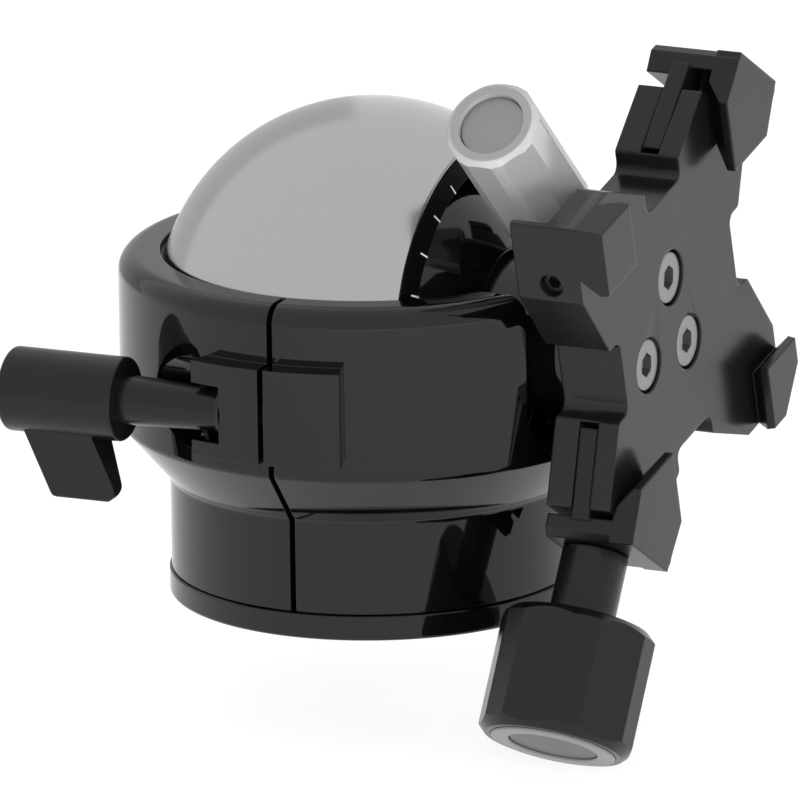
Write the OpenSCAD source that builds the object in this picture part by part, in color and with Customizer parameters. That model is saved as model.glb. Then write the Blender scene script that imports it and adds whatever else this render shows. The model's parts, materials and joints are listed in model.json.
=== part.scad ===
// Lever ball head for a tripod: a split housing that a tangential lever squeezes round a
// large ball, a second ball inside the first, and a cross shaped quick-release clamp with
// two fixed posts and two sliding jaws. It stands as in use for an upright format: the
// large ball lies in the housing's notch, and the clamp faces sideways.
// Origin: centre of the base's underside. +Z is up, +X points out through the notch.

/* [Base] */
// Radius of the base plate
base_r = 31.15; // [30.5:0.05:33]
// Thickness of the base plate
base_h = 3.9; // [3.5:0.1:5]
// Radius of the tripod thread, at its crests
tripod_bore_r = 4.05; // [3:0.05:4.5]
// Radius of the circle of base screws
base_screw_circle = 28; // [27.6:0.1:28.2]

/* [Housing] */
// Radius of the housing's foot
foot_r = 30.8; // [30.4:0.1:32]
// Top of the foot, where the cone starts
cone_low = 17.2; // [15:0.1:18.5]
// Top of the cone, where the collar starts
cone_high = 25.8; // [24:0.1:26.5]
// Outer radius of the collar
collar_r = 38.1; // [37.6:0.1:38.2]
// Height of the collar's top face
collar_top = 52.8; // [52:0.1:54]
// Radius of the collar's rounded top edge
collar_round = 3; // [1:0.1:3.5]
// Direction of the split, turned about the vertical axis
split_angle = -87.75; // [-92:0.25:-84]
// Width of the split
split_gap = 0.9; // [0.6:0.1:1.5]
// Half the width of the portrait notch
notch_half = 17.4; // [17.3:0.1:18.5]
// Height of the notch's floor
notch_floor = 29; // [28:0.1:29.2]

/* [Lever] */
// Distance of the lever's screw from the vertical axis
lever_reach = 37.6; // [37.2:0.1:37.9]
// Height of the lever's screw
lever_z = 36.3; // [36:0.1:37.5]
// Radius of the lever's barrel
barrel_r = 6.35; // [5.5:0.05:7]
// Length of the lever's barrel
barrel_len = 18.6; // [16:0.1:20]
// Distance from the split to the barrel
barrel_start = 23.7; // [23:0.1:26]
// Length of the lever's paddle below the screw's axis
paddle_len = 15.8; // [14:0.1:18]

/* [Balls] */
// Radius of the large ball
ball_r = 32.5; // [32.2:0.05:32.6]
// Height of both balls' centre
ball_z = 42.6; // [42.4:0.1:43]
// Distance from the centre to the large ball's open face
ball_face = 17; // [16:0.1:17.5]
// Radius of the inner ball
inner_r = 26; // [25:0.1:26.2]
// Height of the scale ring above the large ball's open face
ring_rise = 2.2; // [1.5:0.1:2.6]
// Inner radius of the scale ring
ring_inner = 22; // [20:0.1:22.5]

/* [Neck and lock knob] */
// Radius of the neck
neck_r = 12.3; // [11.8:0.1:12.4]
// Radius of the lock knob
lock_r = 7.35; // [6:0.05:7.5]
// Length of the lock knob
lock_len = 24.5; // [20:0.1:26]
// Distance from the balls' centre to the lock knob's axis, along the neck
lock_level = 31; // [30.4:0.1:31]
// Distance of the lock knob's axis to the side of the neck's axis
lock_aside = 11.9; // [11.4:0.1:12.4]

/* [Clamp plate] */
// Distance from the balls' centre to the clamp's face
plate_face = 49; // [48.8:0.1:50]
// Thickness of the clamp plate
plate_h = 10.4; // [10:0.1:10.5]
// Half the width of each arm at its root
arm_root = 14.1; // [13.6:0.1:14.6]
// Slope at which the arms narrow
arm_taper = 15.5; // [12:0.5:18]
// Reach of the two sliding arms
slide_arm_len = 33.5; // [32:0.1:34.5]
// Half the width between the fixed posts' lips
post_lip = 18.75; // [18.2:0.05:19.2]
// Height of the posts and jaws above the face
post_h = 4; // [3.4:0.1:5]

/* [Jaws and clamp knob] */
// Half the width between the jaws' lips, at their mean reach
jaw_lip = 15.6; // [15:0.1:16.2]
// Gap between the upper jaw's block and its arm
upper_gap = 2.6; // [1:0.1:3]
// Gap between the lower jaw's block and its arm
lower_gap = 0.9; // [0.7:0.1:1.4]
// Thickness of the jaws' tongues
tongue_h = 2.8; // [2.4:0.1:3]
// Radius of the clamp screw
rod_r = 2; // [1.6:0.05:2]
// Radius of the clamp knob
knob_r = 12; // [10:0.05:12.4]
// Length of the clamp knob
knob_len = 19.2; // [15:0.1:20]
// Distance from the lower jaw to the clamp knob
shoulder_len = 10.9; // [10:0.1:13]

/* [Hidden] */

$fn = 96;
overrun = 0.6;
fit_gap = 0.05;
slide_gap = 0.15;
ball_gap = 0.1;

// Base
base_edge = 0.5;
seam_edge = 0.25;
insert_r = 7.5;
insert_flange_r = 10;
insert_flange_h = 2;
base_screw_r = 1.25;
base_screw_head = 2.3;
base_screw_len = 11;
base_screw_angles = [20, 65, 115, 160];

// Housing
socket_gap = 0.9;
socket_r = ball_r + socket_gap;
well_r = 25.5;
liner_low = 30;
liner_high = 51.8;
liner_h = socket_gap - ball_gap - fit_gap;
seat_ring_h = 3.4;
seat_bore_r = 14;
boss_rise = 3.7;
boss_r = collar_r + boss_rise;
boss_low = lever_z - 6.8;
boss_high = lever_z + 7.8;
boss_half_angle = 16.7;
boss_root = 3;
boss_edge = 0.6;
boss_end = 12.2;
scoop_r = 8.6;
scoop_out = 2.5;
scoop_len = 12;
mouth_depth = 5.1;
mouth_half = 4.4;
notch_round = 5;
notch_start = 10;
notch_reach = collar_r + 10;

// Lever
screw_r = 2.5;
screw_bore_r = screw_r + ball_gap;
washer_r = 3.9;
washer_h = 0.6;
stem_low_r = 3.35;
stem_high_r = 3.75;
clamp_insert_r = 3.1;
clamp_insert_start = 1.2;
clamp_insert_len = 7.3;
paddle_top = 4;
paddle_front = 3.7;
paddle_back = 3.3;
paddle_tip = 1.7;
paddle_tip_h = 1.8;
paddle_lean = 4.2;
paddle_width = 11;
paddle_corner = 1;
paddle_inset = 2.8;
barrel_edge = 0.7;
end_screw_r = 3;
end_screw_depth = 2.2;

// Balls
shell_inner_r = inner_r + 1.2;
ring_low = ball_face - 3.4;
ring_outer = shell_inner_r - fit_gap;
inner_liner_low = -20;
inner_liner_high = 8;
pin_r = 1.5;
pin_out = ball_r - 2.3;
neck_foot = sqrt(inner_r * inner_r - neck_r * neck_r);

// Neck and lock knob
neck_head_r = 13.4;
plate_back = plate_face - plate_h;
neck_head_h = 2.3;
spigot_r = 6;
spigot_len = 10;
lock_angle = 136.7;
lock_start = 17.8;
lock_flats = 8;
lock_flat_angle = 31;
lock_edge = 0.9;
lock_cap_r = 5;
lock_cap_depth = 0.9;
lock_cap_h = 1.6;
lug_r = 4.4;
lug_start = 2.4;
lock_screw_r = 2;
brake_rod_r = 1.6;
brake_aside = 9.4;
brake_along = 2.6;
brake_rod_top = lock_level + brake_rod_r;
brake_shoe_r = 6;
brake_shoe_h = 2.4;

// Clamp plate, on axes turned by lens_angle and centred at plate_y and plate_z
lens_angle = 13.8;
plate_y = 3.7;
plate_z = 3.7;
arm_shrink = tan(arm_taper);
relief_start = 23.5;
relief_depth = 5.6;
relief_wall = 1.2;
pocket_round = 1.9;
pocket_half = 6.1;
pocket_lead = 0.05;
pocket_start = arm_root * sqrt(2) + pocket_lead;
arm_square = 29.9;
right_arm_len = 36.6;
tongue_floor = 4;
tongue_level = plate_back + tongue_floor + slide_gap + tongue_h / 2;
tongue_start = 21.8;
core_start = 21;
tongue_half = 7.5;
core_r = 3.2;
rod_bore_r = rod_r + slide_gap;
slot_start = 20;
core_bore_start = 17.5;
lip_land = 1.3;
lip_step = 0.2;
lip_step_lead = 0.3;
post_out = arm_square;
post_slope = 1;
plate_screw_places = [[-5.57, 4.04], [5.49, -2.42], [-6.46, -9.92]];
plate_screw_r = 2;
plate_head_r = 3.95;
plate_head_h = 2.8;
plate_head_sink = 0.3;
head_clear = 0.35;
plate_screw_len = 12.5;
hex_flats = 3.3;
hex_depth = 1.6;
set_screw_r = 1.85;
set_screw_place = 20;
set_screw_len = 6;
set_screw_sink = 1.2;

// Jaws, clamp screw and knob
jaw_gap = (upper_gap + lower_gap) / 2;
jaw_wall = 3.3;
jaw_block_start = slide_arm_len + jaw_gap;
jaw_end = jaw_block_start + jaw_wall;
jaw_shoulder = 8.2;
jaw_end_half = 7.1;
jaw_edge = 1.2;
blind_depth = 1;
shoulder_r = 5;
knob_flats = 6;
knob_flat_angle = 40;
knob_edge = 1.5;
knob_start = jaw_end + fit_gap + shoulder_len;
knob_cap_r = 9.5;
knob_cap_h = 1.6;
knob_cap_rise = 0.3;
knob_disc_r = 6.7;
knob_disc_sink = 0.35;
knob_socket = 9;
knob_stub_r = 3;
knob_screw_r = 1.5;
knob_screw_place = 5;
knob_screw_len = 5;
clip_h = 0.8;
clip_r = 3;
thread_gap = fit_gap;

// Frames. On the stem: x runs to +Y, y runs up, z runs out along +X
module on_stem() translate([0, 0, ball_z]) rotate([90, 0, 90]) children();
module on_plate() on_stem() translate([plate_y, plate_z, 0]) rotate(lens_angle) children();
module on_upper_arm() on_plate() rotate(-45) children();
module on_lower_arm() on_plate() rotate(135) children();
module on_lower_jaw() on_lower_arm() translate([0, lower_gap - jaw_gap, 0]) children();
// On the lever: z runs along its screw away from the split, x outwards, y up
module on_lever()
    translate([lever_reach * cos(split_angle), lever_reach * sin(split_angle), lever_z])
        rotate([90, 0, split_angle]) children();
// On the lock knob: z runs out along its axis
module on_lock()
    on_stem() rotate(lock_angle) translate([0, -lock_aside, lock_level]) rotate([0, 90, 0]) children();
// Along an arm's middle line at the clamp screw's level: z runs outwards, y towards the face
module along_arm() translate([0, 0, tongue_level]) rotate([-90, 0, 0]) mirror([0, 1, 0]) children();

module ring(outer, inner, h) {
    difference() {
        cylinder(r = outer, h = h);
        translate([0, 0, -overrun]) cylinder(r = inner, h = h + 2 * overrun);
    }
}

// A disc with both edges bevelled
module bevelled(r, h, edge) {
    rotate_extrude()
        polygon([[0, 0], [r - edge, 0], [r, edge], [r, h - edge], [r - edge, h], [0, h]]);
}

// A grip with flats along it, each flat_angle wide, and bevelled ends
module grip(r, h, edge, flats, flat_angle) {
    intersection() {
        bevelled(r, h, edge);
        linear_extrude(h) polygon([for (k = [0 : flats - 1], s = [-1, 1])
            let (a = 360 / flats * k + s * flat_angle / 2) [r * cos(a), r * sin(a)]]);
    }
}

module hex_socket(flats, depth) {
    cylinder(r = flats / sqrt(3), h = depth, $fn = 6);
}

// Base
module base_screw_places() {
    for (a = base_screw_angles) rotate(a) translate([base_screw_circle, 0, 0]) children();
}

module base_screw(grow) {
    cylinder(r1 = base_screw_head + grow, r2 = base_screw_r + grow, h = base_screw_head - base_screw_r + grow);
    cylinder(r = base_screw_r + grow, h = base_screw_len);
}

module base_plate() {
    color("#303030") difference() {
        rotate_extrude()
            polygon([[0, 0], [base_r - base_edge, 0], [base_r, base_edge], [base_r, base_h - seam_edge],
                [base_r - seam_edge, base_h], [0, base_h]]);
        translate([0, 0, -overrun]) cylinder(r = insert_r + fit_gap, h = base_h + 2 * overrun);
        base_screw_places() base_screw(fit_gap);
    }
}

module tripod_insert() {
    color("#8c8c8c") difference() {
        union() {
            cylinder(r = insert_r, h = base_h + insert_flange_h);
            translate([0, 0, base_h]) cylinder(r = insert_flange_r, h = insert_flange_h);
        }
        translate([0, 0, -overrun])
            cylinder(r = tripod_bore_r, h = base_h + insert_flange_h + 2 * overrun);
    }
}

module base_screws() {
    color("#606060") base_screw_places() difference() {
        base_screw(0);
        translate([0, 0, -overrun]) hex_socket(base_screw_r, base_screw_r + overrun);
    }
}

// Housing
module notch_shape() {
    side = notch_half - notch_round;
    translate([-notch_half, notch_floor + notch_round])
        square([2 * notch_half, collar_top - notch_floor]);
    translate([-side, notch_floor]) square([2 * side, collar_top - notch_floor]);
    for (s = [-1, 1]) {
        translate([s * side, notch_floor + notch_round]) circle(r = notch_round);
        difference() {
            translate([s * notch_half - collar_round, collar_top - collar_round])
                square([2 * collar_round, collar_round + overrun]);
            translate([s * (notch_half + collar_round), collar_top - collar_round]) circle(r = collar_round);
        }
    }
}

module notch() {
    translate([notch_start, 0, 0]) rotate([90, 0, 90]) linear_extrude(notch_reach - notch_start) notch_shape();
}

module split() {
    rotate(split_angle) translate([0, -split_gap / 2, base_h - overrun])
        cube([boss_r + overrun, split_gap, collar_top]);
}

module collar_form() {
    rotate_extrude() {
        polygon([[0, base_h], [foot_r - seam_edge, base_h], [foot_r, base_h + seam_edge], [foot_r, cone_low],
            [collar_r, cone_high], [collar_r, collar_top - collar_round], [collar_r - collar_round, collar_top],
            [0, collar_top]]);
        translate([collar_r - collar_round, collar_top - collar_round]) circle(r = collar_round);
    }
    rotate(split_angle - boss_half_angle) rotate_extrude(angle = 2 * boss_half_angle)
        polygon([[collar_r - boss_root, boss_low], [boss_r - boss_edge, boss_low], [boss_r, boss_low + boss_edge],
            [boss_r, boss_high - boss_edge], [boss_r - boss_edge, boss_high], [collar_r - boss_root, boss_high]]);
}

module housing() {
    color("#3a3a3a") difference() {
        collar_form();
        translate([0, 0, ball_z]) sphere(r = socket_r);
        translate([0, 0, base_h - overrun]) cylinder(r = well_r, h = ball_z - base_h);
        notch();
        split();
        base_screw_places() cylinder(r = base_screw_r, h = base_screw_len + overrun);
        on_lever() {
            translate([scoop_out, 0, boss_end]) cylinder(r = scoop_r, h = scoop_len);
            translate([-mouth_half, -mouth_half, boss_end - mouth_depth])
                cube([boss_r, 2 * mouth_half, mouth_depth + overrun]);
            cylinder(r = screw_bore_r, h = boss_end);
            translate([0, 0, -clamp_insert_start - clamp_insert_len])
                cylinder(r = clamp_insert_r, h = clamp_insert_start + clamp_insert_len);
        }
    }
}

module seat_ring() {
    color("#6a6a6a") translate([0, 0, base_h]) ring(well_r - fit_gap, seat_bore_r, seat_ring_h);
}

module ball_seat() {
    low = base_h + seat_ring_h;
    color("#e0ded6") difference() {
        translate([0, 0, low]) ring(well_r - fit_gap, seat_bore_r, ball_z - ball_r / 2 - low);
        translate([0, 0, ball_z]) sphere(r = ball_r + ball_gap);
    }
}

module socket_liner() {
    color("#d8d4c8") difference() {
        translate([0, 0, liner_low]) cylinder(r = socket_r + overrun, h = liner_high - liner_low);
        translate([0, 0, ball_z]) sphere(r = ball_r + ball_gap);
        difference() {
            cylinder(r = 2 * socket_r, h = 2 * collar_top);
            translate([0, 0, ball_z]) sphere(r = ball_r + ball_gap + liner_h);
        }
        notch();
        split();
    }
}

module clamp_insert() {
    color("#b0a070") on_lever() translate([0, 0, -clamp_insert_start - clamp_insert_len])
        ring(clamp_insert_r - fit_gap, screw_r + thread_gap, clamp_insert_len);
}

module lever_washer() {
    color("#b0b0b0") on_lever() translate([0, 0, boss_end - mouth_depth]) ring(washer_r, screw_bore_r, washer_h);
}

// Lever
module lever_screw() {
    shoulder = boss_end - mouth_depth + washer_h + fit_gap;
    color("#2c2c2c") on_lever() {
        translate([0, 0, -clamp_insert_start - clamp_insert_len + overrun])
            cylinder(r = screw_r, h = shoulder + clamp_insert_start + clamp_insert_len);
        translate([0, 0, shoulder]) cylinder(r1 = stem_low_r, r2 = stem_high_r, h = barrel_start - shoulder);
        translate([0, 0, barrel_start - overrun])
            cylinder(r = screw_r, h = barrel_len - end_screw_depth + overrun);
    }
}

module lever_handle() {
    color("#2a2a2a") on_lever() translate([0, 0, barrel_start]) difference() {
        union() {
            bevelled(barrel_r, barrel_len, barrel_edge);
            paddle();
        }
        cylinder(r = screw_r + fit_gap, h = barrel_len);
        translate([0, 0, barrel_len - end_screw_depth])
            cylinder(r = end_screw_r + fit_gap, h = end_screw_depth + overrun);
    }
}

// The paddle: a wedge that hangs from the barrel and leans towards the split
module paddle() {
    tip = paddle_len - paddle_tip_h;
    far = barrel_len - paddle_inset;
    near = far - paddle_width;
    intersection() {
        linear_extrude(barrel_len + paddle_width)
            polygon([[paddle_front, -paddle_top], [paddle_tip, -paddle_len], [paddle_tip / 2, -paddle_len],
                [-paddle_tip / 2, -tip], [-paddle_back, -paddle_top]]);
        rotate([0, -90, 0]) linear_extrude(2 * barrel_r, center = true)
            polygon([[far, -paddle_top], [near, -paddle_top], [near - paddle_lean, -tip],
                [near - paddle_lean + paddle_corner, -tip - paddle_corner],
                [far - paddle_lean - paddle_corner, -paddle_len], [far - paddle_lean, -paddle_len + paddle_corner]]);
    }
}

module lever_end_screw() {
    color("#5a5a5a") on_lever() translate([0, 0, barrel_start + barrel_len - end_screw_depth]) difference() {
        cylinder(r = end_screw_r, h = end_screw_depth - fit_gap);
        translate([0, 0, end_screw_depth - hex_depth]) hex_socket(hex_flats, hex_depth);
    }
}

// Balls
module outer_ball() {
    color("#b4b4b4") on_stem() difference() {
        sphere(r = ball_r);
        translate([0, 0, ball_face]) cylinder(r = ball_r, h = ball_r);
        sphere(r = shell_inner_r);
        cylinder(r = shell_inner_r, h = ball_face + overrun);
        for (a = [90, -90]) rotate([a, 0, 0]) cylinder(r = pin_r + fit_gap, h = pin_out + fit_gap);
    }
}

module scale_ring() {
    color("#1c1c1c") on_stem() difference() {
        rotate_extrude()
            polygon([[0, ring_low], [ring_outer, ring_low], [ring_outer, ball_face],
                [ring_inner, ball_face + ring_rise], [0, ball_face + ring_rise]]);
        cylinder(r = ring_inner, h = ball_r);
        sphere(r = inner_r + ball_gap);
    }
}

module liner_pins() {
    low = inner_r + 2 * ball_gap;
    color("#a0a0a0") on_stem() for (a = [90, -90]) rotate([a, 0, 0]) translate([0, 0, low])
        cylinder(r = pin_r, h = pin_out - low);
}

module inner_liner() {
    color("#d8d4c8") on_stem() difference() {
        sphere(r = shell_inner_r - ball_gap);
        sphere(r = inner_r + ball_gap);
        translate([0, 0, inner_liner_high]) cylinder(r = ball_r, h = ball_r);
        mirror([0, 0, 1]) translate([0, 0, -inner_liner_low]) cylinder(r = ball_r, h = ball_r);
        for (a = [90, -90]) rotate([a, 0, 0]) cylinder(r = pin_r + fit_gap, h = ball_r);
    }
}

module inner_ball() {
    color("#202020") on_stem() difference() {
        sphere(r = inner_r);
        translate([0, 0, neck_foot]) cylinder(r = inner_r, h = inner_r);
        translate([0, 0, neck_foot - spigot_len - overrun]) cylinder(r = spigot_r + fit_gap, h = inner_r);
        brake_place() mirror([0, 0, 1]) cylinder(r = brake_rod_r + fit_gap, h = 2 * inner_r, center = true);
        brake_place() mirror([0, 0, 1]) translate([0, 0, brake_shoe_low() - fit_gap])
            cylinder(r = brake_shoe_r + fit_gap, h = inner_r);
    }
}

// Neck, brake and lock knob
module brake_place() {
    rotate(lock_angle) translate([brake_along, -brake_aside, 0]) children();
}

// Depth of the brake shoe's seat below the balls' centre
function brake_shoe_low() = sqrt(inner_r * inner_r - pow(brake_aside + brake_along / 2 + brake_shoe_r, 2))
    - brake_shoe_h;

module neck() {
    head = plate_back - neck_head_h;
    color("#262626") difference() {
        union() {
            on_stem() {
                translate([0, 0, neck_foot - spigot_len]) cylinder(r = spigot_r, h = spigot_len + overrun);
                translate([0, 0, neck_foot]) cylinder(r = neck_r, h = head - neck_foot);
                translate([0, 0, head]) cylinder(r = neck_head_r, h = neck_head_h);
            }
            on_lock() translate([0, 0, lug_start]) cylinder(r = lug_r, h = lock_start - fit_gap - lug_start);
        }
        on_lock() translate([0, 0, brake_along + brake_rod_r])
            cylinder(r = lock_screw_r + fit_gap, h = lock_start);
        on_stem() brake_place() cylinder(r = brake_rod_r + fit_gap, h = brake_rod_top + fit_gap);
        plate_screw_group(fit_gap);
    }
}

module brake_rod() {
    color("#909090") on_stem() brake_place() translate([0, 0, -brake_shoe_low()])
        cylinder(r = brake_rod_r, h = brake_shoe_low() + brake_rod_top);
}

module brake_shoe() {
    color("#c8b48c") on_stem() intersection() {
        brake_place() mirror([0, 0, 1]) translate([0, 0, brake_shoe_low()]) cylinder(r = brake_shoe_r, h = inner_r);
        sphere(r = inner_r - fit_gap);
    }
}

module lock_screw() {
    color("#8c8c8c") on_lock() translate([0, 0, brake_along + brake_rod_r + fit_gap])
        cylinder(r = lock_screw_r, h = lock_start + lock_len / 2 - brake_along - brake_rod_r);
}

module lock_knob() {
    color("#c0c0c2") on_lock() translate([0, 0, lock_start]) difference() {
        grip(lock_r, lock_len, lock_edge, lock_flats, lock_flat_angle);
        translate([0, 0, -overrun]) cylinder(r = lock_screw_r + fit_gap, h = lock_len / 2 + 2 * overrun);
        translate([0, 0, lock_len - lock_cap_depth - lock_cap_h])
            cylinder(r = lock_cap_r + fit_gap, h = lock_cap_depth + lock_cap_h + overrun);
    }
}

module lock_cap() {
    color("#98989c") on_lock() translate([0, 0, lock_start + lock_len - lock_cap_depth - lock_cap_h])
        cylinder(r = lock_cap_r, h = lock_cap_h);
}

// Clamp plate
module arm(reach) {
    tip = arm_root - (reach - arm_root) * arm_shrink;
    polygon([[0, 0], [arm_root, arm_root], [tip, reach], [-tip, reach], [-arm_root, arm_root]]);
}

module pocket() {
    side = pocket_half - pocket_round;
    translate([pocket_start + pocket_round, -pocket_half]) square([arm_root, 2 * pocket_half]);
    translate([pocket_start, -side]) square([arm_root, 2 * side]);
    for (s = [-1, 1]) translate([pocket_start + pocket_round, s * side]) circle(r = pocket_round);
}

module plate_outline() {
    difference() {
        intersection() {
            union() {
                rotate(-45) arm(slide_arm_len);
                rotate(135) arm(slide_arm_len);
                rotate(45) arm(arm_square * sqrt(2));
                rotate(-135) arm(right_arm_len);
            }
            square(2 * arm_square, center = true);
        }
        for (a = [0 : 90 : 270]) rotate(a) pocket();
    }
}

// The undercut prism of a lip: its land stands at place, and the face below slopes back
module lip_prism(place, out) {
    rotate([90, 0, 0]) translate([0, 0, -out]) linear_extrude(2 * out)
        polygon([[place, plate_face + post_h], [place, plate_face + post_h - lip_land],
            [place + post_h - lip_land, plate_face], [place + post_h - lip_land, plate_face - plate_h / 2],
            [out, plate_face - plate_h / 2], [out, plate_face], [out - post_slope, plate_face + post_h]]);
}

// A post over the corner where x and y are both positive
module corner_post(place, out) {
    intersection() {
        lip_prism(place, out);
        mirror([1, -1, 0]) lip_prism(place, out);
    }
}

// A shallow step in the face under a lip, so that a flat plate rests on the face alone
module lip_relief(place) {
    start = place - lip_step_lead;
    translate([start, start, plate_face - lip_step]) cube([arm_square, arm_square, lip_step + overrun]);
}

module screw_hole_places() {
    on_upper_arm() for (p = plate_screw_places) translate([p[0], p[1], plate_face]) children();
}

module plate_screw_group(grow) {
    screw_hole_places() mirror([0, 0, 1]) translate([0, 0, plate_head_sink])
        cylinder(r = plate_screw_r + grow, h = plate_head_h + plate_screw_len + grow);
}

module arm_slot() {
    translate([-arm_root, slot_start, tongue_level - tongue_h / 2 - slide_gap])
        cube([2 * arm_root, slide_arm_len, tongue_h + 2 * slide_gap]);
    along_arm() translate([0, 0, core_bore_start]) cylinder(r = core_r + slide_gap, h = slide_arm_len);
    along_arm() cylinder(r = rod_bore_r, h = slide_arm_len);
}

module set_screw_bore_place() {
    on_plate() translate([-arm_square, set_screw_place, tongue_level]) rotate([0, 90, 0]) children();
}

module clamp_plate() {
    color("#4a4a4a") difference() {
        on_plate() {
            difference() {
                translate([0, 0, plate_back]) linear_extrude(plate_h) plate_outline();
                for (a = [0, 180]) rotate(a) lip_relief(jaw_lip + (lower_gap - jaw_gap) / sqrt(2));
                for (a = [-90, 90]) rotate(a) lip_relief(post_lip);
            }
            rotate(90) corner_post(post_lip, post_out);
            intersection() {
                rotate(-90) corner_post(post_lip, post_out);
                rotate(-135) translate([-arm_square, 0, 0]) cube([2 * arm_square, right_arm_len, 2 * plate_face]);
            }
        }
        on_upper_arm() arm_slot();
        on_lower_arm() arm_slot();
        on_plate() translate([relief_wall - arm_square, relief_start, plate_back - overrun])
            cube([arm_square - relief_wall - pocket_half, arm_square, relief_depth + overrun]);
        plate_screw_group(2 * fit_gap);
        screw_hole_places() mirror([0, 0, 1]) translate([0, 0, -overrun])
            cylinder(r = plate_head_r + head_clear, h = plate_head_sink + plate_head_h + overrun);
        set_screw_bore_place() translate([0, 0, -overrun])
            cylinder(r = set_screw_r, h = set_screw_sink + set_screw_len + overrun);
    }
}

module plate_screws() {
    color("#b0b0b0") screw_hole_places() mirror([0, 0, 1]) translate([0, 0, plate_head_sink]) difference() {
        union() {
            cylinder(r = plate_head_r, h = plate_head_h);
            cylinder(r = plate_screw_r, h = plate_head_h + plate_screw_len);
        }
        translate([0, 0, -overrun]) hex_socket(hex_flats, hex_depth + overrun);
    }
}

module arm_set_screw() {
    color("#303030") set_screw_bore_place() translate([0, 0, set_screw_sink]) difference() {
        cylinder(r = set_screw_r - fit_gap, h = set_screw_len);
        translate([0, 0, -overrun]) hex_socket(set_screw_r, set_screw_r + overrun);
    }
}

// Jaws
module jaw_outline() {
    tip = jaw_lip * sqrt(2);
    polygon([[0, tip], [jaw_shoulder, tip + jaw_shoulder], [jaw_end_half, jaw_end],
        [-jaw_end_half, jaw_end], [-jaw_shoulder, tip + jaw_shoulder]]);
}

module jaw_block_outline() {
    polygon([[-tongue_half, jaw_block_start], [tongue_half, jaw_block_start],
        [tongue_half, jaw_end - jaw_edge], [tongue_half - jaw_edge, jaw_end],
        [jaw_edge - tongue_half, jaw_end], [-tongue_half, jaw_end - jaw_edge]]);
}

module jaw(bore_end) {
    difference() {
        union() {
            intersection() {
                translate([0, 0, plate_face + slide_gap]) linear_extrude(post_h - slide_gap) jaw_outline();
                rotate(45) corner_post(jaw_lip, jaw_end);
            }
            translate([0, 0, plate_back]) linear_extrude(plate_h + post_h) jaw_block_outline();
            translate([-tongue_half, tongue_start, tongue_level - tongue_h / 2])
                cube([2 * tongue_half, jaw_block_start - tongue_start + overrun, tongue_h]);
            along_arm() translate([0, 0, core_start]) cylinder(r = core_r, h = jaw_block_start - core_start);
        }
        along_arm() cylinder(r = rod_r + thread_gap, h = bore_end);
    }
}

module upper_jaw() {
    color("#404040") on_upper_arm() translate([0, upper_gap - jaw_gap, 0]) jaw(jaw_block_start + blind_depth);
}

module lower_jaw() {
    color("#404040") on_lower_jaw() jaw(jaw_end + overrun);
}

module clamp_screw() {
    color("#2c2c2c") on_lower_jaw() along_arm() {
        translate([0, 0, -slide_arm_len]) cylinder(r = rod_r, h = slide_arm_len + knob_start);
        translate([0, 0, jaw_end + fit_gap]) cylinder(r = shoulder_r, h = shoulder_len);
        translate([0, 0, knob_start - overrun]) cylinder(r = knob_stub_r, h = knob_socket);
    }
}

module screw_clip() {
    color("#a0a0a0") on_lower_jaw() along_arm() translate([0, 0, core_start - clip_h - fit_gap])
        ring(clip_r, rod_r + fit_gap / 2, clip_h);
}

module clamp_knob() {
    color("#282828") on_lower_jaw() along_arm() translate([0, 0, knob_start]) difference() {
        grip(knob_r, knob_len, knob_edge, knob_flats, knob_flat_angle);
        translate([0, 0, -overrun]) cylinder(r = knob_stub_r + fit_gap, h = knob_socket + overrun);
        translate([0, 0, knob_len - knob_cap_h]) cylinder(r = knob_cap_r + fit_gap, h = knob_cap_h + overrun);
        translate([0, 0, knob_screw_place]) rotate([90, 0, 0])
            cylinder(r = knob_screw_r + fit_gap, h = knob_r);
    }
}

module knob_cap() {
    color("#929292") on_lower_jaw() along_arm() translate([0, 0, knob_start + knob_len - knob_cap_h])
        ring(knob_cap_r, knob_disc_r + fit_gap, knob_cap_h + knob_cap_rise);
}

module knob_disc() {
    color("#7c7c7c") on_lower_jaw() along_arm() translate([0, 0, knob_start + knob_len - knob_cap_h])
        cylinder(r = knob_disc_r, h = knob_cap_h + knob_cap_rise - knob_disc_sink);
}

module knob_set_screw() {
    color("#1c1c1c") on_lower_jaw() along_arm() translate([0, 0, knob_start + knob_screw_place])
        rotate([90, 0, 0]) translate([0, 0, knob_stub_r]) cylinder(r = knob_screw_r, h = knob_screw_len);
}

base_plate();
tripod_insert();
base_screws();
housing();
seat_ring();
ball_seat();
socket_liner();
clamp_insert();
lever_washer();
lever_screw();
lever_handle();
lever_end_screw();
outer_ball();
scale_ring();
liner_pins();
inner_liner();
inner_ball();
neck();
brake_rod();
brake_shoe();
lock_screw();
lock_knob();
lock_cap();
clamp_plate();
plate_screws();
arm_set_screw();
upper_jaw();
lower_jaw();
clamp_screw();
screw_clip();
clamp_knob();
knob_cap();
knob_disc();
knob_set_screw();
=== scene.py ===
"""Lever ball head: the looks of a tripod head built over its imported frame."""

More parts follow.
